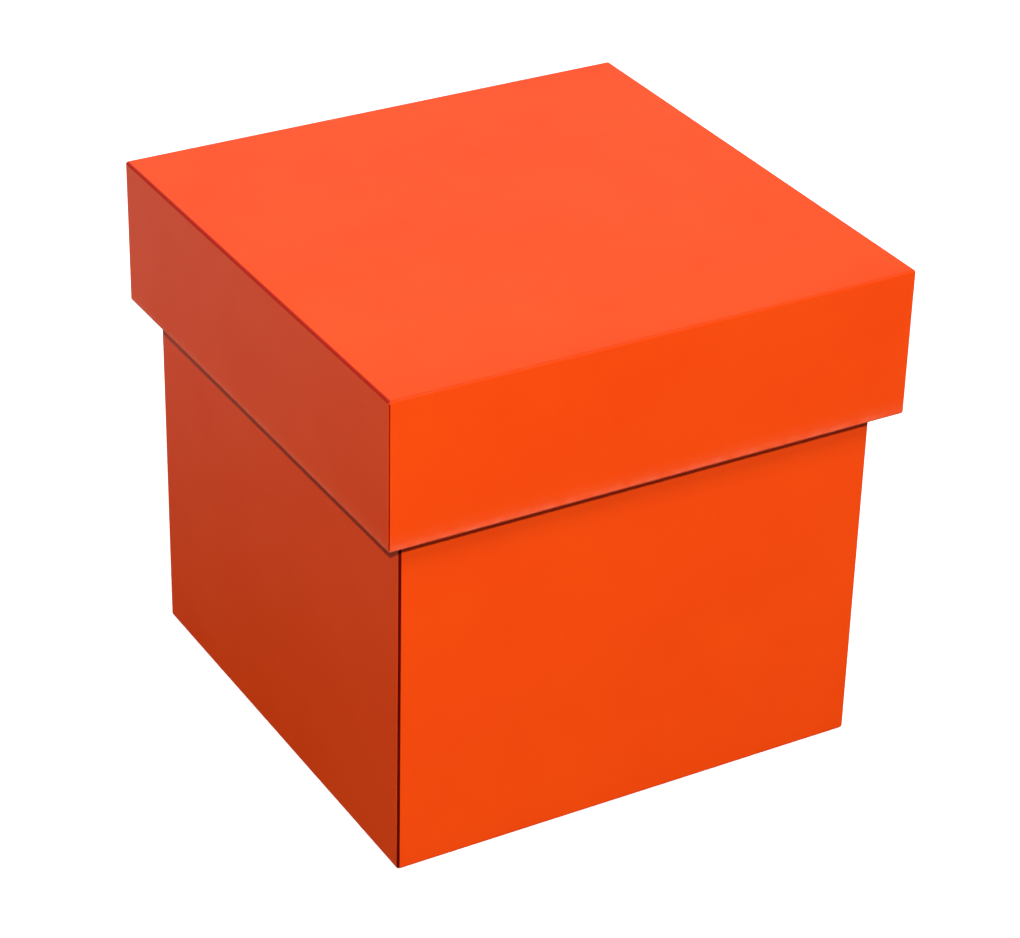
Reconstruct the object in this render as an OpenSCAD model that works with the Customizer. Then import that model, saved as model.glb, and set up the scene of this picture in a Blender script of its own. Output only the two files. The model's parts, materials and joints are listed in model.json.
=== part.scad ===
// A cube gift box with a lift-off lid, built as a rigid set-up box.
// Base and lid are trays of greyboard panels. Each tray has paper tape round its
// upright corners, a paper wrap over the outside that turns in over the rim, and
// a paper lining. The lid is the same tray upside down, a little wider.
// The origin is the centre of the underside, +Z is up, and the front is at -Y.

/* [Base] */
// Outside width and depth of the base
base_side = 100; // [60:5:150]
// Outside height of the base, from the surface it stands on to its rim
base_height = 100; // [50:5:150]

/* [Lid] */
// How far the lid stands out past each side of the base
lid_overhang = 4.5; // [4:0.5:8]
// Outside height of the lid
lid_height = 30; // [22:1:45]

/* [Board and paper] */
// Thickness of the greyboard
board = 2; // [1.5:0.1:2.5]
// Thickness of the wrapping paper
paper = 0.2; // [0.15:0.05:0.3]
// Thickness of the lining paper
lining = 0.2; // [0.15:0.05:0.3]
// Thickness of the corner tape
tape = 0.15; // [0.1:0.05:0.2]
// Outside radius where the paper folds round the board
fold_r = 0.6; // [0.5:0.1:1.2]

/* [Paper margins] */
// How far the wrap turns in over a rim
turn_in = 15; // [10:1:18]
// How far the base's wrap turns under its floor
turn_under = 14; // [8:1:20]
// Width of each leg of the corner tape
tape_leg = 12; // [8:1:18]
// How far the wall lining stops short of the rim
reveal = 3; // [2:0.5:5]

/* [Hidden] */
$fn = 48;
SIDES = ["front", "right", "back", "left"];
CORNERS = ["front_left", "front_right", "back_right", "back_left"];

wrap_colour = "OrangeRed";
board_colour = "DarkGray";
tape_colour = "Tan";
lining_colour = "WhiteSmoke";

lid_side = base_side + 2 * lid_overhang;
base_tray_height = base_height - paper; // the bottom sheet lies under the tray
lid_top = base_height + lining + board + paper; // the lid's lining rests on the rim
tape_inset = 2; // the tape stops this far from the tray's two ends
sheet_margin = 3; // the bottom sheet stops this far inside the base's edges
floor_slack = 0.2; // gap round the floor lining
past = 1; // how far a cutting shape runs past what it cuts

// Distances from a tray's outside face inwards
wall_depth = paper + board;
turn_in_depth = wall_depth + paper;

// A rectangle with round corners, centred on the origin.
module soft_rect(size, r) {
    square([size[0] - 2 * r, size[1]], center = true);
    square([size[0], size[1] - 2 * r], center = true);
    for (x = [-1, 1], y = [-1, 1])
        translate([x * (size[0] / 2 - r), y * (size[1] / 2 - r)]) circle(r);
}

// A square block from low to high with all its edges round.
module soft_block(side, low, high, r) {
    middle = (low + high) / 2;
    elevation = [side, high - low];
    intersection() {
        translate([0, 0, low]) linear_extrude(high - low) soft_rect([side, side], r);
        translate([0, 0, middle]) rotate([90, 0, 0])
            linear_extrude(side + past, center = true) soft_rect(elevation, r);
        translate([0, 0, middle]) rotate([90, 0, 90])
            linear_extrude(side + past, center = true) soft_rect(elevation, r);
    }
}

// A sharp square block from low to high.
module sharp_block(side, low, high) {
    translate([-side / 2, -side / 2, low]) cube([side, side, high - low]);
}

// A square tube from low to high, its wall thickness going inwards.
module square_ring(side, wall, low, high) {
    difference() {
        sharp_block(side, low, high);
        sharp_block(side - 2 * wall, low - past, high + past);
    }
}

// The shape that a tray's boards fill together. The tape is pressed into it.
module tray_core(side, height) {
    difference() {
        soft_block(side - 2 * paper, paper, height - paper, fold_r - paper);
        for (i = [0 : 3]) tray_corner_tape(side, height, i);
    }
}

// A tray's closed end: one board the full size of the tray.
module tray_end_board(side, height) {
    intersection() {
        tray_core(side, height);
        sharp_block(side, 0, paper + board);
    }
}

// A tray's wall number i, standing on the end board. The front and back run the
// full width, and the two side walls fit between them.
module tray_wall_board(side, height, i) {
    full_width = side - 2 * paper;
    width = i % 2 == 0 ? full_width : full_width - 2 * board;
    intersection() {
        tray_core(side, height);
        rotate([0, 0, 90 * i])
            translate([-width / 2, paper - side / 2, paper + board])
                cube([width, board, height]);
    }
}

// The tape folded round a tray's upright corner number i, outside the boards.
module tray_corner_tape(side, height, i) {
    outside = side - 2 * paper;
    inside = outside - 2 * tape;
    outside_r = fold_r - paper;
    rotate([0, 0, 90 * i]) translate([0, 0, tape_inset])
        linear_extrude(height - 2 * tape_inset)
            intersection() {
                difference() {
                    soft_rect([outside, outside], outside_r);
                    soft_rect([inside, inside], outside_r - tape);
                }
                translate([-side / 2, -side / 2]) square(paper + tape_leg);
            }
}

// The paper round a tray: over its walls, over the rim and down inside. A
// window is left open in the closed end where window is more than 0.
module tray_wrap(side, height, window) {
    low = height - turn_in;
    high = height + past;
    difference() {
        soft_block(side, 0, height, fold_r);
        difference() {
            soft_block(side - 2 * paper, paper, height - paper, fold_r - paper);
            sharp_block(side - 2 * wall_depth, low, high);
        }
        sharp_block(side - 2 * turn_in_depth, low - past, high);
        if (window > 0) sharp_block(window, -past, paper + past);
    }
}

// The strip that lines a tray's walls. It lies on the board, and steps inwards
// where it covers the wrap's turned-in edge.
module tray_wall_lining(side, height) {
    on_board = side - 2 * wall_depth;
    on_wrap = side - 2 * turn_in_depth;
    step = height - turn_in;
    square_ring(on_board, lining, paper + board, step);
    square_ring(on_board, paper + lining, step - lining, step);
    square_ring(on_wrap, lining, step - lining, height - reveal);
}

// The sheet that lines a tray's closed end.
module tray_end_lining(side) {
    sheet = side - 2 * (wall_depth + lining + floor_slack);
    sharp_block(sheet, paper + board, paper + board + lining);
}

// Puts a tray's parts where the base's are.
module as_base() {
    translate([0, 0, paper]) children();
}

// Turns a tray's parts over to make the lid's.
module as_lid() {
    translate([0, 0, lid_top]) mirror([0, 0, 1]) children();
}

// The sheet under the base. Its border covers the turned-under wrap, and its
// middle steps up to the floor board.
module base_bottom_sheet() {
    border = base_side - 2 * sheet_margin;
    window = base_side - 2 * turn_under;
    color(wrap_colour) {
        square_ring(border, (border - window) / 2 + paper, 0, paper);
        square_ring(window, paper, 0, 2 * paper);
        sharp_block(window, paper, 2 * paper);
    }
}

module base_wrap() {
    color(wrap_colour)
        as_base() tray_wrap(base_side, base_tray_height, base_side - 2 * turn_under);
}

module base_floor_board() {
    color(board_colour) as_base() tray_end_board(base_side, base_tray_height);
}

module base_wall_board(i) {
    color(board_colour) as_base() tray_wall_board(base_side, base_tray_height, i);
}

module base_corner_tape(i) {
    color(tape_colour) as_base() tray_corner_tape(base_side, base_tray_height, i);
}

module base_wall_lining() {
    color(lining_colour) as_base() tray_wall_lining(base_side, base_tray_height);
}

module base_floor_lining() {
    color(lining_colour) as_base() tray_end_lining(base_side);
}

module lid_wrap() {
    color(wrap_colour) as_lid() tray_wrap(lid_side, lid_height, 0);
}

module lid_top_board() {
    color(board_colour) as_lid() tray_end_board(lid_side, lid_height);
}

module lid_wall_board(i) {
    color(board_colour) as_lid() tray_wall_board(lid_side, lid_height, i);
}

module lid_corner_tape(i) {
    color(tape_colour) as_lid() tray_corner_tape(lid_side, lid_height, i);
}

module lid_wall_lining() {
    color(lining_colour) as_lid() tray_wall_lining(lid_side, lid_height);
}

module lid_top_lining() {
    color(lining_colour) as_lid() tray_end_lining(lid_side);
}

base_bottom_sheet();
base_wrap();
base_floor_board();
for (i = [0 : 3])
    base_wall_board(i);
for (i = [0 : 3])
    base_corner_tape(i);
base_wall_lining();
base_floor_lining();
lid_wrap();
lid_top_board();
for (i = [0 : 3])
    lid_wall_board(i);
for (i = [0 : 3])
    lid_corner_tape(i);
lid_wall_lining();
lid_top_lining();
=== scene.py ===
import json
import math

import bmesh
import bpy
from mathutils import Matrix, Vector, noise


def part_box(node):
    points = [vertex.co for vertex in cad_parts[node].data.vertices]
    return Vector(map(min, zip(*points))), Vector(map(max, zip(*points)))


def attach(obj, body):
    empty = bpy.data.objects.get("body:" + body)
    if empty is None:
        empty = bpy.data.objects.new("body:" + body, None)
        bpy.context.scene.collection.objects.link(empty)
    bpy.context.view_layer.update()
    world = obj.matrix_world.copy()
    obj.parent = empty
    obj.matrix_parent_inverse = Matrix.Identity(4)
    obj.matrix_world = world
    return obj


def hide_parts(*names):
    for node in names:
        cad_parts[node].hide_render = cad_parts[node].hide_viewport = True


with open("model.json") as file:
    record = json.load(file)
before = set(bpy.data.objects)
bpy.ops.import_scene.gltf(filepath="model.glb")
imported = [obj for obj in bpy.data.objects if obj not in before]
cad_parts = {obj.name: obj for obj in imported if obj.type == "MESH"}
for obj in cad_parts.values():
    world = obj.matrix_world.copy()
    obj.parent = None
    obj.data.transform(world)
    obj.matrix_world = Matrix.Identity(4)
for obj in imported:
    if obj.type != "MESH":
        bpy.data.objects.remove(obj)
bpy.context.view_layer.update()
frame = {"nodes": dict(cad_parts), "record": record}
mm = 0.001

# the camera, the floor and the lights

camera = {
    "azimuth": -30.37,      # degrees, turned from straight in front
    "elevation": 29.91,     # degrees above the floor
    "roll": 1.42,           # degrees
    "distance": 647.7,      # mm, from the point it looks at
    "lookAt": (0.1, -2.1, 48.2),
    "lens": 117.0,
}

studio = {
    "sky": 0.14,              # an even pale light from all round
    "skySeen": 1.0,           # what shows behind the box
    "floorTone": 0.95,        # as the camera sees it
    "floorGlow": 0.3,         # lifts it to a clean white
    "floorGlowFar": 0.95,     # out where the lamps hardly reach
    "glowEnds": (0.6, 2.0),         # m
    "mirroredNear": 0.05,     # as the satin paper mirrors it, close to the box, darker as a painted shadow of the box
    "mirroredFar": 0.8,
    "mirroredEnds": (0.05, 0.27),   # m, from the middle of the box
    "floorSize": 40,          # m
    "lampsAimAt": (0, 0, 0.05),
}

lamps = {
    # azimuth and elevation in degrees, distance and size in m
    "keyLamp": {"azimuth": -30.4, "elevation": 35.7, "distance": 2.0, "size": 0.038, "power": 42.0},
    "softBox": {"azimuth": 22, "elevation": 54, "distance": 1.5, "size": 0.5, "power": 9.3},
    "leftFill": {"azimuth": -128, "elevation": 4, "distance": 0.36, "size": 0.12, "power": 0.045},
    "backFill": {"azimuth": 156, "elevation": 36, "distance": 1.6, "size": 1.5, "power": 5.5},
    "rightFill": {"azimuth": 95, "elevation": 22, "distance": 1.6, "size": 1.0, "power": 8},
    "rearFill": {"azimuth": 184, "elevation": 14, "distance": 1.6, "size": 0.8, "power": 9},
    "underFill": {"azimuth": 0, "elevation": -90, "distance": 1.2, "size": 0.4, "power": 6},
}


def directionOf(azimuth, elevation):
    # towards a lamp or the camera; azimuth 0 is straight in front of the box
    a, e = math.radians(azimuth), math.radians(elevation)
    return Vector((math.sin(a) * math.cos(e), -math.cos(a) * math.cos(e), math.sin(e)))


def addCamera(settings):
    back = directionOf(settings["azimuth"], settings["elevation"])
    roll = math.radians(settings["roll"])
    levelX = Vector((0, 0, 1)).cross(back).normalized()
    levelY = back.cross(levelX)
    x = math.cos(roll) * levelX + math.sin(roll) * levelY
    y = math.cos(roll) * levelY - math.sin(roll) * levelX
    place = Vector(settings["lookAt"]) * mm + back * settings["distance"] * mm
    data = bpy.data.cameras.new("camera")
    data.lens = settings["lens"]
    data.sensor_width = 36
    data.clip_start = 0.01
    cam = bpy.data.objects.new("camera", data)
    bpy.context.scene.collection.objects.link(cam)
    cam.matrix_world = Matrix.Translation(place) @ Matrix((x, y, back)).transposed().to_4x4()
    bpy.context.scene.camera = cam


def addSky(settings):
    world = bpy.data.worlds.new("studio")
    world.use_nodes = True
    tree = world.node_tree
    background = tree.nodes["Background"]
    background.inputs["Color"].default_value = (1, 1, 1, 1)
    seen = addNode(tree, "LightPath").outputs["Is Camera Ray"]
    strength = addNode(tree, "MapRange", {
        "Value": seen, "To Min": settings["sky"], "To Max": settings["skySeen"]})
    tree.links.new(strength.outputs["Result"], background.inputs["Strength"])
    bpy.context.scene.world = world


def addLamp(name, settings):
    away = directionOf(settings["azimuth"], settings["elevation"])
    data = bpy.data.lights.new(name, "AREA")
    data.shape = "DISK"
    data.size = settings["size"]
    data.energy = settings["power"]
    lamp = bpy.data.objects.new(name, data)
    bpy.context.scene.collection.objects.link(lamp)
    lamp.location = Vector(studio["lampsAimAt"]) + away * settings["distance"]
    lamp.rotation_euler = away.to_track_quat("Z", "Y").to_euler()


# making materials

def addNode(tree, kind, inputs=None, **settings):
    # a shader node; each input is given a value or is joined to another node's output
    made = tree.nodes.new("ShaderNode" + kind)
    for key, value in settings.items():
        setattr(made, key, value)
    for key, value in (inputs or {}).items():
        if isinstance(value, bpy.types.NodeSocket):
            tree.links.new(value, made.inputs[key])
        else:
            made.inputs[key].default_value = value
    return made


def mixColours(tree, amount, a, b):
    # a Mix node's sockets 6 and 7, and its result 2, are the ones for colours
    mix = addNode(tree, "Mix", data_type="RGBA")
    for socket, value in ((mix.inputs[0], amount), (mix.inputs[6], a), (mix.inputs[7], b)):
        if isinstance(value, bpy.types.NodeSocket):
            tree.links.new(value, socket)
        else:
            socket.default_value = (*value, 1) if isinstance(value, tuple) else value
    return mix.outputs[2]


def combine(tree, operation, a, b=0.5, c=0.5):
    return addNode(tree, "Math", {0: a, 1: b, 2: c}, operation=operation).outputs[0]


def newGroup(name, inputs, outputs):
    # a shader node group; inputs are name: default, outputs are name: kind
    group = bpy.data.node_groups.new(name, "ShaderNodeTree")
    for key, value in inputs.items():
        kind = "NodeSocketFloat"
        if isinstance(value, tuple):
            kind = "NodeSocketVector" if len(value) == 3 else "NodeSocketColor"
        socket = group.interface.new_socket(name=key, in_out="INPUT", socket_type=kind)
        socket.default_value = value
    for key, kind in outputs.items():
        group.interface.new_socket(name=key, in_out="OUTPUT", socket_type="NodeSocket" + kind)
    given = group.nodes.new("NodeGroupInput").outputs
    out = group.nodes.new("NodeGroupOutput").inputs
    return group, given, out


def placeGroup(tree, group, inputs):
    made = tree.nodes.new("ShaderNodeGroup")
    made.node_tree = group
    for key, value in inputs.items():
        if isinstance(value, bpy.types.NodeSocket):
            tree.links.new(value, made.inputs[key])
        else:
            made.inputs[key].default_value = value
    return made.outputs


def newMaterial(name, settings):
    # a material with one Principled shader, whose even values are set on its own sockets
    material = bpy.data.materials.new(name)
    material.use_nodes = True
    tree = material.node_tree
    shader = tree.nodes["Principled BSDF"]
    shader.inputs["Specular IOR Level"].default_value = settings["gloss"]
    shader.inputs["Roughness"].default_value = settings["roughness"]
    material.diffuse_color = (*settings["colour"], 1)
    return material, tree, shader.inputs


def makePaperGrain():
    # fine tooth and slow cloudiness of pressed paper
    group, given, out = newGroup(
        "paperGrain",
        {"Vector": (0, 0, 0), "Tooth Scale": 3000.0, "Cloud Scale": 60.0},
        {"Height": "Float", "Cloud": "Float"})
    tooth = addNode(group, "TexNoise", {
        "Vector": given["Vector"], "Scale": given["Tooth Scale"], "Detail": 3.0, "Roughness": 0.55})
    cloud = addNode(group, "TexNoise", {
        "Vector": given["Vector"], "Scale": given["Cloud Scale"], "Detail": 4.0, "Roughness": 0.6})
    clouds = addNode(group, "MapRange", {
        "Value": cloud.outputs["Fac"], "From Min": 0.3, "From Max": 0.7})
    group.links.new(tooth.outputs["Fac"], out["Height"])
    group.links.new(clouds.outputs["Result"], out["Cloud"])
    return group


fleckShape = {
    "turns": ((0.3, 0.2, 0.4), (1.4, 0.9, 2.1), (2.6, 1.9, 0.7)),
    "stretch": (1.0, 0.16, 1.0),
    "levelAtNone": 0.78,        # how high the noise must be to count as a fleck
    "levelPerAmount": -0.35,
    "sharpness": 14.0,
}


def makeFibres(shape):
    # short fibres lying every way: three sets of stretched flecks, each turned on the last
    group, given, out = newGroup(
        "fibres",
        {"Vector": (0, 0, 0), "Scale": 900.0, "Amount": 0.3},
        {"Mask": "Float"})
    total = 0.0
    for turn in shape["turns"]:
        turned = addNode(group, "Mapping", {
            "Vector": given["Vector"], "Rotation": turn, "Scale": shape["stretch"]})
        flecks = addNode(group, "TexNoise", {
            "Vector": turned.outputs["Vector"], "Scale": given["Scale"], "Detail": 1.0})
        level = combine(group, "MULTIPLY_ADD", given["Amount"],
                        shape["levelPerAmount"], shape["levelAtNone"])
        edge = combine(group, "SUBTRACT", flecks.outputs["Fac"], level)
        total = combine(group, "ADD", combine(group, "MULTIPLY", edge, shape["sharpness"]), total)
        total = addNode(group, "Clamp", {"Value": total}).outputs["Result"]
    group.links.new(total, out["Mask"])
    return group


# patches of the pale corner wear and of the painted rim highlight
patchNoise = {"scale": 420.0, "contrast": 1.4, "offset": -0.3}


def makeFoldShadeWearAndHighlight(patches):
    # painted shade along the folds; pale rubbed paper where folds rub, and a painted highlight in that
    # colour along the rim, both carried by the Wear input
    group, given, out = newGroup(
        "foldShadeWearAndHighlight",
        {"Color": (0.8, 0.1, 0.0, 1), "Fold Shade Color": (0.4, 0.01, 0.0, 1),
         "Rubbed And Lit Color": (0.9, 0.5, 0.4, 1),
         "Fold Shade": 0.0, "Wear": 0.0, "Wear Amount": 0.3, "Vector": (0, 0, 0)},
        {"Color": "Color", "Wear": "Float"})
    foldShaded = mixColours(group, given["Fold Shade"], given["Color"], given["Fold Shade Color"])
    spots = addNode(group, "TexNoise", {
        "Vector": given["Vector"], "Scale": patches["scale"], "Detail": 5.0, "Roughness": 0.65})
    wornAndLit = combine(group, "MULTIPLY_ADD", spots.outputs["Fac"], patches["contrast"], patches["offset"])
    wornAndLit = combine(group, "MULTIPLY", wornAndLit, given["Wear"])
    wornAndLit = combine(group, "MULTIPLY", wornAndLit, given["Wear Amount"])
    wornAndLit = addNode(group, "Clamp", {"Value": wornAndLit}).outputs["Result"]
    group.links.new(mixColours(group, wornAndLit, foldShaded, given["Rubbed And Lit Color"]), out["Color"])
    group.links.new(wornAndLit, out["Wear"])
    return group


paperGrain = makePaperGrain()
fibres = makeFibres(fleckShape)
foldShadeWearAndHighlight = makeFoldShadeWearAndHighlight(patchNoise)


def startPaper(name, settings):
    # a material with the grain that all the papers and boards share
    material, tree, shader = newMaterial(name, settings)
    place = addNode(tree, "TexCoord").outputs["Object"]
    grain = placeGroup(tree, paperGrain, {
        "Vector": place, "Tooth Scale": settings["tooth"], "Cloud Scale": settings["cloud"]})
    return material, tree, shader, place, grain


def addFibres(tree, place, scale, amount):
    return placeGroup(tree, fibres, {"Vector": place, "Scale": scale, "Amount": amount})["Mask"]


def scaled(tree, value, factor):
    return combine(tree, "MULTIPLY", value, factor)


def addBump(tree, shader, height, depth):
    bump = addNode(tree, "Bump", {"Height": height, "Distance": depth * mm, "Strength": 1.0})
    tree.links.new(bump.outputs["Normal"], shader["Normal"])


orangeCoat = {
    "colour": (0.8, 0.062, 0.002),
    "deeper": (0.78, 0.055, 0.0018),    # where the coat lies thicker
    # painted shade drawn along the folds
    "foldShade": (0.36, 0.002, 0.0003),
    # pale rubbed paper at the corners; the same colour is the painted highlight along the rim
    "rubbedAndLit": (0.9, 0.32, 0.2),
    "paleMarkAmount": 0.55,
    "roughness": 0.38,
    "roughnessSpread": 0.02,
    "rougherWorn": 0.3,                 # added where it is rubbed and on the painted rim highlight
    "rougherCreased": 0.3,
    "gloss": 0.07,
    "tooth": 3200.0,
    "toothDepth": 0.012,                # mm
    "cloud": 45.0,
}


def makeOrangePaper(settings):
    # satin paper with a coloured coat
    material, tree, shader, place, grain = startPaper("orangePaper", settings)
    # the folds carry painted shade; the wear marks carry corner wear and a painted highlight along the
    # rim
    foldShade = addNode(tree, "Attribute", attribute_name="foldShade").outputs["Fac"]
    wearAndHighlight = addNode(tree, "Attribute", attribute_name="wearAndHighlight").outputs["Fac"]
    coat = mixColours(tree, grain["Cloud"], settings["colour"], settings["deeper"])
    wornAndLit = placeGroup(tree, foldShadeWearAndHighlight, {
        "Color": coat, "Fold Shade Color": (*settings["foldShade"], 1),
        "Rubbed And Lit Color": (*settings["rubbedAndLit"], 1),
        "Fold Shade": foldShade, "Wear": wearAndHighlight, "Wear Amount": settings["paleMarkAmount"], "Vector": place})
    tree.links.new(wornAndLit["Color"], shader["Base Color"])
    low = settings["roughness"] - settings["roughnessSpread"]
    rough = combine(tree, "MULTIPLY_ADD", grain["Cloud"], 2 * settings["roughnessSpread"], low)
    rough = combine(tree, "MULTIPLY_ADD", wornAndLit["Wear"], settings["rougherWorn"], rough)
    rough = combine(tree, "MULTIPLY_ADD", foldShade, settings["rougherCreased"], rough)
    tree.links.new(rough, shader["Roughness"])
    addBump(tree, shader, grain["Height"], settings["toothDepth"])
    return material


# the open seam's paper edge, darkened as painted shade of the deep slit
openSeamShade = {
    "colour": (0.11, 0.002, 0.0008),
    "darker": (0.07, 0.0012, 0.0006),
    "roughness": 0.8,
    "gloss": 0.02,
    "tooth": 2600.0,
    "toothDepth": 0.02,
    "cloud": 150.0,
}

# the lid's narrow seams, darkened as painted shade of the slit
closeSeamShade = {
    "colour": (0.3, 0.005, 0.001),
    "darker": (0.22, 0.0035, 0.0008),
    "roughness": 0.7,
    "gloss": 0.05,
    "tooth": 2600.0,
    "toothDepth": 0.02,
    "cloud": 150.0,
}


def makeSeamShade(name, settings):
    # the slit where two edges of the wrap meet: dyed paper edge, darkened as painted shade of the slit
    material, tree, shader, place, grain = startPaper(name, settings)
    tone = mixColours(tree, grain["Cloud"], settings["colour"], settings["darker"])
    tree.links.new(tone, shader["Base Color"])
    addBump(tree, shader, grain["Height"], settings["toothDepth"])
    return material


paperBack = {
    "colour": (0.8, 0.72, 0.64),
    "stain": (0.78, 0.42, 0.25),
    "fibre": (0.6, 0.47, 0.38),
    "roughness": 0.85,
    "gloss": 0.2,
}

whiteLining = {
    "colour": (0.84, 0.83, 0.8),
    "stain": (0.79, 0.78, 0.745),
    "fibre": (0.66, 0.63, 0.57),
    "roughness": 0.7,
    "gloss": 0.3,
}

# what the two plain papers share
plainPaper = {
    "roughnessSpread": 0.04,
    "tooth": 2200.0,
    "toothDepth": 0.03,
    "cloud": 90.0,
    "fibreScale": 1500.0,
    "fibreAmount": 0.25,
    "fibreTint": 0.35,
    "fibreHeight": 0.4,
}


def makePlainPaper(name, settings):
    # uncoated paper: cloudy tone and a few fibres
    settings = {**plainPaper, **settings}
    material, tree, shader, place, grain = startPaper(name, settings)
    hairs = addFibres(tree, place, settings["fibreScale"], settings["fibreAmount"])
    tone = mixColours(tree, grain["Cloud"], settings["colour"], settings["stain"])
    tone = mixColours(tree, scaled(tree, hairs, settings["fibreTint"]), tone, settings["fibre"])
    tree.links.new(tone, shader["Base Color"])
    low = settings["roughness"] - settings["roughnessSpread"]
    rough = combine(tree, "MULTIPLY_ADD", grain["Cloud"], 2 * settings["roughnessSpread"], low)
    tree.links.new(rough, shader["Roughness"])
    height = combine(tree, "MULTIPLY_ADD", hairs, settings["fibreHeight"], grain["Height"])
    addBump(tree, shader, height, settings["toothDepth"])
    return material


greyBoard = {
    "colour": (0.3, 0.27, 0.23),
    "paler": (0.42, 0.39, 0.34),
    "fleck": (0.13, 0.11, 0.1),
    "paleFleck": (0.62, 0.6, 0.55),
    "roughness": 0.92,
    "gloss": 0.15,
    "tooth": 1300.0,
    "toothDepth": 0.06,
    "cloud": 220.0,
    "fleckScale": 1100.0,
    "fleckTint": 0.7,
    "paleFleckScale": 800.0,
    "paleFleckTint": 0.6,
    "paleFleckHeight": 0.5,
    "paleFleckMoved": (0.31, 0.17, 0.23),   # so that pale and dark flecks don't lie together
    "fleckAmount": 0.35,
}


def makeGreyBoard(settings):
    # board pressed from waste paper: mottled grey, dark and pale fibres, a felt-like surface
    material, tree, shader, place, grain = startPaper("greyBoard", settings)
    moved = addNode(tree, "Mapping", {"Vector": place, "Location": settings["paleFleckMoved"]})
    dark = addFibres(tree, place, settings["fleckScale"], settings["fleckAmount"])
    pale = addFibres(tree, moved.outputs["Vector"], settings["paleFleckScale"], settings["fleckAmount"])
    tone = mixColours(tree, grain["Cloud"], settings["colour"], settings["paler"])
    tone = mixColours(tree, scaled(tree, dark, settings["fleckTint"]), tone, settings["fleck"])
    tone = mixColours(tree, scaled(tree, pale, settings["paleFleckTint"]), tone, settings["paleFleck"])
    tree.links.new(tone, shader["Base Color"])
    height = combine(tree, "ADD", grain["Height"], scaled(tree, pale, settings["paleFleckHeight"]))
    addBump(tree, shader, height, settings["toothDepth"])
    return material


kraftTape = {
    "colour": (0.5, 0.34, 0.19),
    "darker": (0.4, 0.26, 0.14),
    "fibre": (0.66, 0.5, 0.32),
    "roughness": 0.6,
    "gloss": 0.3,
    "tooth": 2000.0,
    "toothDepth": 0.04,
    "cloud": 160.0,
    "ribs": 900.0,
    "ribStretch": (1.0, 1.0, 0.02),
    "fibreScale": 1000.0,
    "fibreAmount": 0.35,
    "fibreTint": 0.5,
}


def makeKraftTape(settings):
    # brown gummed paper with fine machine ribs running up the tape
    material, tree, shader, place, grain = startPaper("kraftTape", settings)
    upright = addNode(tree, "Mapping", {"Vector": place, "Scale": settings["ribStretch"]})
    ribs = addNode(tree, "TexNoise", {
        "Vector": upright.outputs["Vector"], "Scale": settings["ribs"], "Detail": 2.0}).outputs["Fac"]
    hairs = addFibres(tree, place, settings["fibreScale"], settings["fibreAmount"])
    mottle = combine(tree, "MULTIPLY", grain["Cloud"], ribs)
    tone = mixColours(tree, mottle, settings["colour"], settings["darker"])
    tone = mixColours(tree, scaled(tree, hairs, settings["fibreTint"]), tone, settings["fibre"])
    tree.links.new(tone, shader["Base Color"])
    addBump(tree, shader, combine(tree, "ADD", ribs, grain["Height"]), settings["toothDepth"])
    return material


orangePaperFinish = makeOrangePaper(orangeCoat)
openSeamFinish = makeSeamShade("openSeamShade", openSeamShade)
closeSeamFinish = makeSeamShade("closeSeamShade", closeSeamShade)
paperBackFinish = makePlainPaper("paperBack", paperBack)
liningFinish = makePlainPaper("whiteLining", whiteLining)
greyBoardFinish = makeGreyBoard(greyBoard)
kraftTapeFinish = makeKraftTape(kraftTape)
print("materials made")


# modelling

modelling = {
    "sameWithin": 0.01 * mm,    # two places this close are one
    "weld": 0.0001 * mm,        # a cut joins the points it makes only this close
    "facing": 0.9,              # how squarely a face that is picked must face a way
    "facesIn": 20 * mm,         # a point on a wall faces into the tray past this, along its normal
    "seamReach": 9 * mm,        # a seam's cut touches faces this near to its corner
    "smoothAngle": math.radians(35),
}


def deselectAll():
    for o in bpy.context.selected_objects:
        o.select_set(False)


def finishPlacing(name):
    piece = bpy.context.object
    piece.name = name
    piece.data.name = name
    bpy.ops.object.transform_apply(location=True, rotation=True, scale=True)
    return piece


def addBlock(name, low, high):
    # a cube from one corner to the other, its place in its mesh
    low, high = Vector(low), Vector(high)
    deselectAll()
    bpy.ops.mesh.primitive_cube_add(size=1, location=(low + high) / 2)
    bpy.context.object.scale = high - low
    return finishPlacing(name)


def addSheet(name, side, z):
    # a flat square at height z, facing up
    deselectAll()
    bpy.ops.mesh.primitive_plane_add(size=side, location=(0, 0, z))
    return finishPlacing(name)


def editMode(on):
    bpy.ops.object.mode_set(mode="EDIT" if on else "OBJECT")


def pick(piece, kind, test):
    # selects the points, edges or faces that pass the test, and nothing else
    bpy.ops.mesh.select_mode(type=kind)
    bpy.ops.mesh.select_all(action="DESELECT")
    shape = bmesh.from_edit_mesh(piece.data)
    parts = {"VERT": shape.verts, "EDGE": shape.edges, "FACE": shape.faces}[kind]
    for part in parts:
        if test(part):
            part.select_set(True)
    bmesh.update_edit_mesh(piece.data)


def pickFaces(piece, test):
    pick(piece, "FACE", lambda f: test(f.calc_center_median(), f.normal))


def pickPoints(piece, test):
    pick(piece, "VERT", lambda v: test(v.co))


def near(a, b):
    return abs(a - b) < modelling["sameWithin"]


def squareness(p):
    # how far out a point is, measured as on a square
    return max(abs(p.x), abs(p.y))


def onRing(edge, half, z):
    # whether an edge is in the square loop at height z, half its side from the middle
    ends = [v.co for v in edge.verts]
    return (all(near(p.z, z) and near(squareness(p), half) for p in ends)
            and near(squareness((ends[0] + ends[1]) / 2), half))


def onUpright(edge, half):
    # whether an edge is at one of the four upright corners of the walls
    return all(near(abs(v.co.x), half) and near(abs(v.co.y), half) for v in edge.verts)


def narrow(half, inward, z=0):
    # brings what is selected, half its side from the middle, inward from all four sides
    k = (half - inward) / half
    bpy.ops.transform.resize(value=(k, k, 1), center_override=(0, 0, z))


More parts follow.
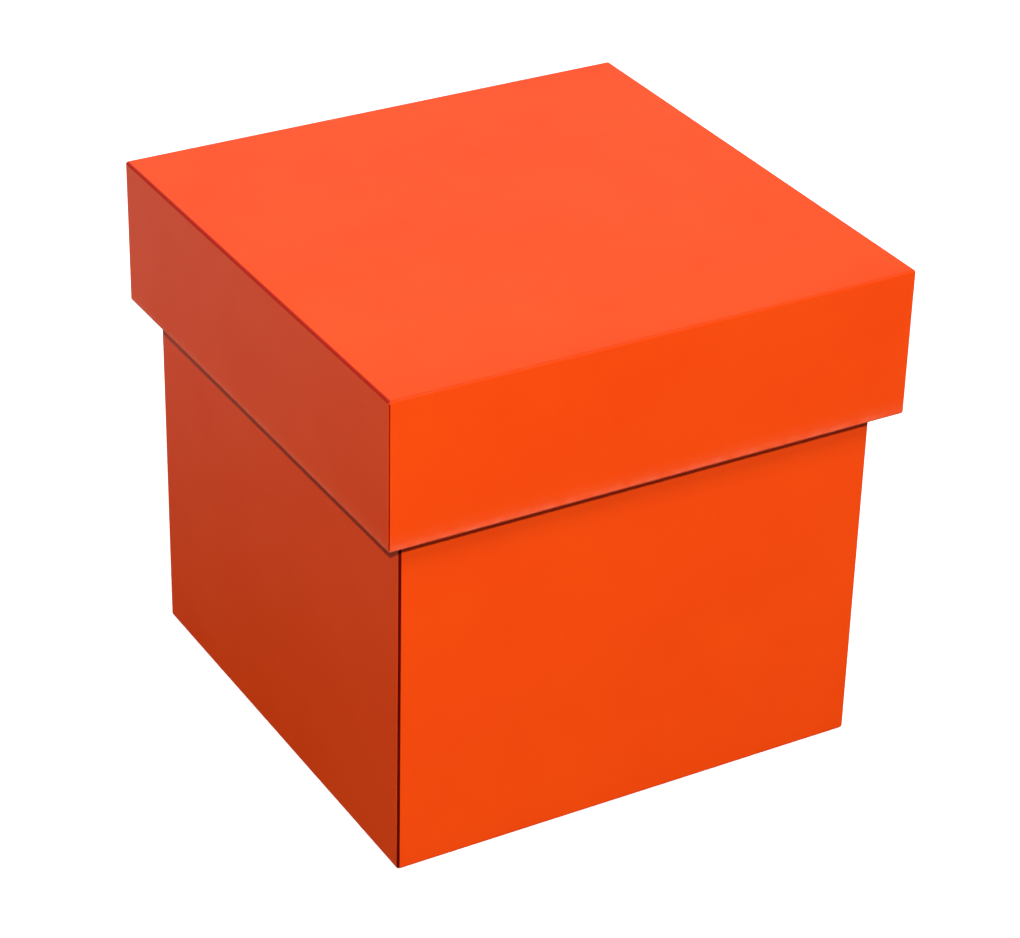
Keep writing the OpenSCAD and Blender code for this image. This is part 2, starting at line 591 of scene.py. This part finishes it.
def carryOn(inward=0, half=1, rise=0, z=0):
    # extrudes the selected square loop inward, or straight up or down
    bpy.ops.mesh.extrude_edges_move(TRANSFORM_OT_translate={"value": (0, 0, rise)})
    if inward:
        narrow(half, inward, z)


def cutSelected(at, direction):
    # cuts what is selected by a plane square to the direction
    bpy.ops.mesh.bisect(plane_co=Vector(direction) * at, plane_no=direction,
                        threshold=modelling["weld"])


def cutAcross(lines, direction):
    # cuts the whole piece square to the direction, at each of the given places along it
    for at in lines:
        bpy.ops.mesh.select_all(action="SELECT")
        cutSelected(at, direction)


def evenly(low, high, parts):
    return [low + (high - low) * i / parts for i in range(1, parts)]


def roundOff(radius, steps, affect="EDGES"):
    bpy.ops.mesh.bevel(offset=radius * mm, segments=steps, profile=0.5,
                       affect=affect, clamp_overlap=False)


def subdivideAll(cuts):
    bpy.ops.mesh.select_all(action="SELECT")
    bpy.ops.mesh.subdivide(number_cuts=cuts)


def applyModifier(piece, name, kind, **settings):
    deselectAll()
    piece.select_set(True)
    bpy.context.view_layer.objects.active = piece
    modifier = piece.modifiers.new(name, kind)
    for key, value in settings.items():
        setattr(modifier, key, value)
    bpy.ops.object.modifier_apply(modifier=modifier.name)


def giveThickness(piece, thick):
    # it goes away from the side that is modelled; the new side and the cut edges take
    # the last material
    last = len(piece.data.materials) - 1
    applyModifier(piece, "thickness", "SOLIDIFY", thickness=thick * mm, offset=-1,
                  use_even_offset=True, material_offset=last, material_offset_rim=last)


def ripple(piece, height, size, moves):
    # lets the visible side wander a little towards the board, as glued paper does
    for point in piece.data.vertices:
        if moves(point):
            wave = 0.5 + 0.5 * noise.noise(point.co / (size * mm))
            point.co -= point.normal * wave * height * mm


def smooth(piece):
    deselectAll()
    piece.select_set(True)
    bpy.context.view_layer.objects.active = piece
    bpy.ops.object.shade_smooth_by_angle(angle=modelling["smoothAngle"])
    applyModifier(piece, "flatFaces", "WEIGHTED_NORMAL", keep_sharp=True, weight=60)


def finishPiece(piece, body, node):
    smooth(piece)
    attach(piece, body)
    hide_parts(node)
    print(piece.name, len(piece.data.polygons), "faces")


def cutSeam(piece, corner, halfWidth, keep):
    # marks out a narrow strip along the diagonal of one corner and gives it the seam material
    cx, cy = corner
    across = Vector((cx, -cy, 0)).normalized()
    edge = halfWidth * mm

    def within(reach):
        pickFaces(piece, lambda c, n: c.x * cx > 0 and c.y * cy > 0 and keep(c)
                  and abs(c.dot(across)) < reach)

    for at in (-edge, edge):
        within(modelling["seamReach"])
        cutSelected(at, across)
    within(edge)
    piece.active_material_index = 1
    bpy.ops.object.material_slot_assign()


def sinkSeams(piece, depth):
    editMode(True)
    bpy.ops.mesh.select_mode(type="FACE")
    bpy.ops.mesh.select_all(action="DESELECT")
    piece.active_material_index = 1
    bpy.ops.object.material_slot_select()
    bpy.ops.mesh.extrude_region_shrink_fatten(TRANSFORM_OT_shrink_fatten={"value": -depth * mm})
    editMode(False)


def markFolds(piece, rim, settings):
    # the painted shade is strongest on folds that run along Y, and weaker on folds along X;
    # wear is on all folds, most at the corners, and a painted highlight reaches a little way from the
    # rim
    foldShade = piece.data.attributes.new("foldShade", "FLOAT", "POINT")
    wearAndHighlight = piece.data.attributes.new("wearAndHighlight", "FLOAT", "POINT")
    flat = settings["foldShadeStart"]
    for point in piece.data.vertices:
        n = point.normal
        # painted shade along the folds
        across = max(0, 2 * abs(n.x * n.z) - flat) / (1 - flat)
        along = settings["foldShadeAlong"] * 2 * abs(n.y * n.z)
        foldShade.data[point.index].value = max(across ** settings["foldShadeSpread"], along)
        tilt = (1 - max(abs(n.x), abs(n.y), abs(n.z))) / settings["cornerTilt"]
        # the painted highlight along the rim
        fromRim = abs(point.co.z - rim) / mm - settings["foldRadius"]
        rubbedAndLit = settings["rimHighlight"] * max(0, 1 - max(0, fromRim) / settings["rimHighlightReach"])
        wearAndHighlight.data[point.index].value = max(tilt ** settings["wearSharpness"], rubbedAndLit)


# the wrapping paper

wrapPaper = {
    "thick": 0.2,           # mm
    "foldRadius": 0.6,      # mm, outside
    "foldSteps": 8,
    "rimRadius": 0.5,       # mm, where it turns down inside
    "rimSteps": 5,
    "seamDepth": 0.12,      # mm
    "marginSkirt": 0.9,     # mm, how far from the rim a corner counts as turned-in margin
    "inside": 0.2,          # mm, how far behind its visible side it can still lie
    "underside": 0.3,       # mm, how far from the closed end a face still belongs to it
    "foldShadeStart": 0.2,     # leaves the flats beside a fold free of painted shade
    "foldShadeSpread": 0.45,
    "foldShadeAlong": 0.3,     # how dark the painted shade on a fold along X is, against one along Y
    "cornerTilt": 0.423,    # how far the normal at a three-way corner turns
    "wearSharpness": 4,     # how closely the wear keeps to the corners
    # a painted highlight in the rubbed colour along the rim
    "rimHighlight": 0.65,
    "rimHighlightReach": 1.6,    # mm
    "ripple": 0.03,         # mm
    "rippleSize": 30,       # mm
}

baseWrap = {
    "node": "base_wrap",
    "body": "base",
    "opensUp": True,
    "cuts": 15,             # grid lines across each side
    "rim": 2.4,             # mm, thickness of the rim
    "turnIn": 15,           # mm, down inside the walls
    "turnUnder": 14,        # mm, under the floor board
    "mitre": 0.06,          # mm, half the width of the slit at a mitred corner
    "seams": {(-1, -1): 0.33},      # mm, half the width of an upright seam
    "seamFinish": openSeamFinish,
}

lidWrap = {
    "node": "lid_wrap",
    "body": "lid",
    "opensUp": False,
    "cuts": 15,
    "rim": 2.4,
    "turnIn": 15,
    "turnUnder": 0,         # its closed end is one sheet with the walls
    "mitre": 0.06,
    "seams": {(-1, -1): 0.15, (1, -1): 0.12, (1, 1): 0.12, (-1, 1): 0.12},
    "seamFinish": closeSeamFinish,
}


def trayEnds(wrap):
    # the heights of the rim and the closed end, and which way is from the one to the other
    low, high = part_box(wrap["node"])
    if wrap["opensUp"]:
        return high.z, low.z, -1
    return low.z, high.z, 1


def makeWrap(name, settings):
    low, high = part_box(settings["node"])
    half = high.x
    rim, end, down = trayEnds(settings)
    inner = half - settings["rim"] * mm
    piece = addBlock(name, low, high)
    for material in (orangePaperFinish, settings["seamFinish"], paperBackFinish):
        piece.data.materials.append(material)
    editMode(True)
    subdivideAll(settings["cuts"])
    # open the rim end, turn the paper in, and down inside
    pickFaces(piece, lambda c, n: n.z * -down > modelling["facing"])
    bpy.ops.mesh.delete(type="FACE")
    pick(piece, "EDGE", lambda e: onRing(e, half, rim))
    carryOn(inward=settings["rim"] * mm, half=half, z=rim)
    carryOn(rise=settings["turnIn"] * mm * down)
    if settings["turnUnder"]:
        pickFaces(piece, lambda c, n: n.z * down > modelling["facing"] and near(c.z, end))
        bpy.ops.mesh.delete(type="FACE")
        pick(piece, "EDGE", lambda e: onRing(e, half, end))
        carryOn(inward=settings["turnUnder"] * mm, half=half, z=end)
    bpy.ops.mesh.select_all(action="SELECT")
    bpy.ops.mesh.normals_make_consistent(inside=False)
    # round the folds
    pick(piece, "EDGE", lambda e: onRing(e, half, rim) or onRing(e, half, end) or onUpright(e, half))
    roundOff(wrapPaper["foldRadius"], wrapPaper["foldSteps"])
    pick(piece, "EDGE", lambda e: onRing(e, inner, rim))
    roundOff(wrapPaper["rimRadius"], wrapPaper["rimSteps"])
    cutCorners(piece, settings, half, inner, rim, end)
    editMode(False)
    giveThickness(piece, wrapPaper["thick"])
    sinkSeams(piece, wrapPaper["seamDepth"])
    markFolds(piece, rim, wrapPaper)
    back = set()
    for face in piece.data.polygons:
        if face.material_index == 2:
            back.update(face.vertices)
    ripple(piece, wrapPaper["ripple"], wrapPaper["rippleSize"], lambda p: p.index not in back)
    finishPiece(piece, settings["body"], settings["node"])


def cutCorners(piece, settings, half, inner, rim, end):
    # slits at the corners: the mitres of the margins, and the upright seams
    skirt = wrapPaper["marginSkirt"] * mm
    underside = wrapPaper["underside"] * mm
    insideWall = inner + wrapPaper["inside"] * mm

    def turnedIn(c):
        return abs(c.z - rim) < skirt or squareness(c) < insideWall and abs(c.z - end) > skirt

    def turnedUnder(c):
        return abs(c.z - end) < underside

    def upright(c):
        return squareness(c) > insideWall and abs(c.z - rim) > skirt and abs(c.z - end) > seamEnd

    seamEnd = underside if settings["turnUnder"] else wrapPaper["foldRadius"] * mm
    for corner in ((-1, -1), (1, -1), (1, 1), (-1, 1)):
        cutSeam(piece, corner, settings["mitre"], turnedIn)
        if settings["turnUnder"]:
            cutSeam(piece, corner, settings["mitre"], turnedUnder)
        if corner in settings["seams"]:
            cutSeam(piece, corner, settings["seams"][corner], upright)


# the linings and the sheet under the base

liningPaper = {
    "thick": 0.2,           # mm
    "cornerRadius": 0.45,   # mm, where the strip is pressed into a corner
    "cornerSteps": 4,
    "climb": 0.7,           # mm, over which it rises onto the turned-in wrap
    "clearance": 0.05,      # mm, from the end of that climb to the wrap's cut edge
    "ripple": 0.05,         # mm
    "rippleSize": 26,       # mm
    "cuts": 15,
    "lap": 9,               # mm, the strip's end over its own start
    "lapOverrun": 0.3,      # mm, so that the lap takes in the whole of its first face
    "lapStop": 1.2,         # mm, short of the corner
    "lapRise": 0.12,        # mm
    "sheetCorner": 0.8,     # mm, the end lining's cut corners
    "sheetCornerSteps": 3,
    "sheetBorder": 1.2,     # mm
}

wallLinings = {
    "baseWallLining": {"node": "base_wall_lining", "wrap": baseWrap},
    "lidWallLining": {"node": "lid_wall_lining", "wrap": lidWrap},
}

endLinings = {
    "baseFloorLining": {"node": "base_floor_lining", "body": "base", "facesUp": True},
    "lidTopLining": {"node": "lid_top_lining", "body": "lid", "facesUp": False},
}


def makeWallLining(name, settings):
    low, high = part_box(settings["node"])
    half = high.x
    wrap = settings["wrap"]
    rim, _, down = trayEnds(wrap)
    # it climbs just before it meets the cut edge of the turned-in wrap
    climbEnd = rim + (wrap["turnIn"] + liningPaper["clearance"]) * down * mm
    climbStart = climbEnd + liningPaper["climb"] * down * mm
    piece = addBlock(name, low, high)
    for material in (paperBackFinish, liningFinish):
        piece.data.materials.append(material)
    editMode(True)
    pickFaces(piece, lambda c, n: abs(n.z) > modelling["facing"])
    bpy.ops.mesh.delete(type="FACE")
    pick(piece, "EDGE", lambda e: onUpright(e, half))
    roundOff(liningPaper["cornerRadius"], liningPaper["cornerSteps"])
    # a grid, with nothing but the climb's own ends in the climb
    climb = sorted((climbStart, climbEnd))
    levels = [z for z in evenly(low.z, high.z, liningPaper["cuts"]) if not climb[0] < z < climb[1]]
    across = evenly(-half, half, liningPaper["cuts"])
    cutAcross(levels + climb, (0, 0, 1))
    cutAcross(across + [half - liningPaper["lap"] * mm], (1, 0, 0))
    cutAcross(across, (0, 1, 0))
    pickPoints(piece, lambda p: (p.z - climbEnd) * down < modelling["sameWithin"] / 2)
    narrow(half, wrapPaper["thick"] * mm)
    editMode(False)
    # the sheet is drawn where it is glued on, so its thickness grows into the tray
    giveThickness(piece, liningPaper["thick"])
    ripple(piece, liningPaper["ripple"], liningPaper["rippleSize"],
           lambda p: p.co.x * p.normal.x + p.co.y * p.normal.y < -modelling["facesIn"])
    # the strip's end laps over its start at a back corner
    editMode(True)
    lapStart = half - (liningPaper["lap"] + liningPaper["lapOverrun"]) * mm
    lapEnd = half - liningPaper["lapStop"] * mm
    pickFaces(piece, lambda c, n: n.y < -modelling["facing"] and c.y > 0 and lapStart < c.x < lapEnd)
    bpy.ops.mesh.extrude_region_shrink_fatten(
        TRANSFORM_OT_shrink_fatten={"value": liningPaper["lapRise"] * mm})
    editMode(False)
    finishPiece(piece, wrap["body"], settings["node"])


def makeEndLining(name, settings):
    low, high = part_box(settings["node"])
    facing = 1 if settings["facesUp"] else -1
    piece = addSheet(name, 2 * high.x, high.z if settings["facesUp"] else low.z)
    for material in (liningFinish, paperBackFinish):
        piece.data.materials.append(material)
    editMode(True)
    bpy.ops.mesh.select_all(action="SELECT")
    roundOff(liningPaper["sheetCorner"], liningPaper["sheetCornerSteps"], affect="VERTICES")
    if facing < 0:
        bpy.ops.mesh.flip_normals()
    # a border all round, then a grid
    bpy.ops.mesh.select_all(action="SELECT")
    bpy.ops.mesh.inset(thickness=liningPaper["sheetBorder"] * mm)
    for direction in ((1, 0, 0), (0, 1, 0)):
        cutAcross(evenly(-high.x, high.x, liningPaper["cuts"]), direction)
    editMode(False)
    giveThickness(piece, liningPaper["thick"])
    ripple(piece, liningPaper["ripple"], liningPaper["rippleSize"],
           lambda p: p.normal.z * facing > modelling["facing"])
    finishPiece(piece, settings["body"], settings["node"])


underSheet = {
    "window": 72,            # mm, the opening between the turned-under margins
    "slope": 0.6,            # mm, over which it climbs into that opening
    "rise": 0.2,             # mm
    "cornerRadius": 2,       # mm
    "cornerSteps": 5,
    "cuts": 15,
}


def makeUnderSheet(name, settings):
    # the sheet pasted over the turned-under margins; it sinks into the opening between them
    low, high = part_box("base_bottom_sheet")
    window = settings["window"] / 2 * mm
    climbed = window - settings["slope"] * mm
    piece = addSheet(name, 2 * high.x, low.z)
    for material in (orangePaperFinish, paperBackFinish):
        piece.data.materials.append(material)
    editMode(True)
    bpy.ops.mesh.select_all(action="SELECT")
    roundOff(settings["cornerRadius"], settings["cornerSteps"], affect="VERTICES")
    bpy.ops.mesh.select_all(action="SELECT")
    bpy.ops.mesh.flip_normals()
    lines = evenly(-high.x, high.x, settings["cuts"]) + [window, -window, climbed, -climbed]
    for direction in ((1, 0, 0), (0, 1, 0)):
        cutAcross(lines, direction)
    pickPoints(piece, lambda p: squareness(p) < climbed + modelling["sameWithin"])
    bpy.ops.transform.translate(value=(0, 0, settings["rise"] * mm))
    editMode(False)
    giveThickness(piece, wrapPaper["thick"])
    ripple(piece, wrapPaper["ripple"], wrapPaper["rippleSize"],
           lambda p: p.normal.z < -modelling["facing"])
    finishPiece(piece, "base", "base_bottom_sheet")


makeWrap("baseWrap", baseWrap)
makeWrap("lidWrap", lidWrap)
for liningName, liningSettings in wallLinings.items():
    makeWallLining(liningName, liningSettings)
for liningName, liningSettings in endLinings.items():
    makeEndLining(liningName, liningSettings)
makeUnderSheet("baseUnderSheet", underSheet)

# the boards and tapes keep their shapes and get their own finishes

slotFinishes = {
    "wrap_paper": orangePaperFinish,
    "greyboard": greyBoardFinish,
    "corner_tape": kraftTapeFinish,
    "lining_paper": liningFinish,
}

for part in frame["record"]["subparts"]:
    node = frame["nodes"][part["node"]]
    node.data.materials.clear()
    node.data.materials.append(slotFinishes[part["material_slot"]])
print("boards and tapes finished")


def byDistance(tree, distance, ends, nearValue, farValue):
    # a value that goes evenly from one to the other between two distances
    return addNode(tree, "MapRange", {
        "Value": distance, "From Min": ends[0], "From Max": ends[1],
        "To Min": nearValue, "To Max": farValue}).outputs["Result"]


def addFloor(settings):
    # a plain pale floor that sends no colour onto the box, and is clear from below
    material = bpy.data.materials.new("paleFloor")
    material.use_nodes = True
    tree = material.node_tree
    tree.nodes.clear()
    side = addNode(tree, "NewGeometry").outputs["Backfacing"]
    gloss = addNode(tree, "LightPath").outputs["Is Glossy Ray"]
    place = addNode(tree, "TexCoord").outputs["Object"]
    distance = addNode(tree, "VectorMath", {0: place}, operation="LENGTH").outputs["Value"]
    # the floor as the paper mirrors it is darker near the box: a painted shadow
    mirrored = byDistance(tree, distance, settings["mirroredEnds"],
                          settings["mirroredNear"], settings["mirroredFar"])
    glow = byDistance(tree, distance, settings["glowEnds"],
                      settings["floorGlow"], settings["floorGlowFar"])
    tone = mixColours(tree, gloss, (settings["floorTone"],) * 3, mirrored)
    glow = mixColours(tree, gloss, glow, (0.0, 0.0, 0.0))
    pale = addNode(tree, "BsdfDiffuse", {"Color": tone}).outputs["BSDF"]
    lift = addNode(tree, "Emission", {"Color": glow}).outputs["Emission"]
    both = addNode(tree, "AddShader", {0: pale, 1: lift}).outputs["Shader"]
    clear = addNode(tree, "BsdfTransparent").outputs["BSDF"]
    mix = addNode(tree, "MixShader", {0: side, 1: both, 2: clear}).outputs["Shader"]
    addNode(tree, "OutputMaterial", {"Surface": mix})
    deselectAll()
    bpy.ops.mesh.primitive_plane_add(size=settings["floorSize"], location=(0, 0, 0))
    floor = bpy.context.object
    floor.name = "floor"
    floor.data.materials.append(material)
    floor.visible_diffuse = False
    floor.visible_shadow = False


addCamera(camera)
bpy.context.scene.view_settings.view_transform = "Standard"
bpy.context.scene.view_settings.look = "None"
addSky(studio)
addFloor(studio)
for lampName, lampSettings in lamps.items():
    addLamp(lampName, lampSettings)
print("studio ready")
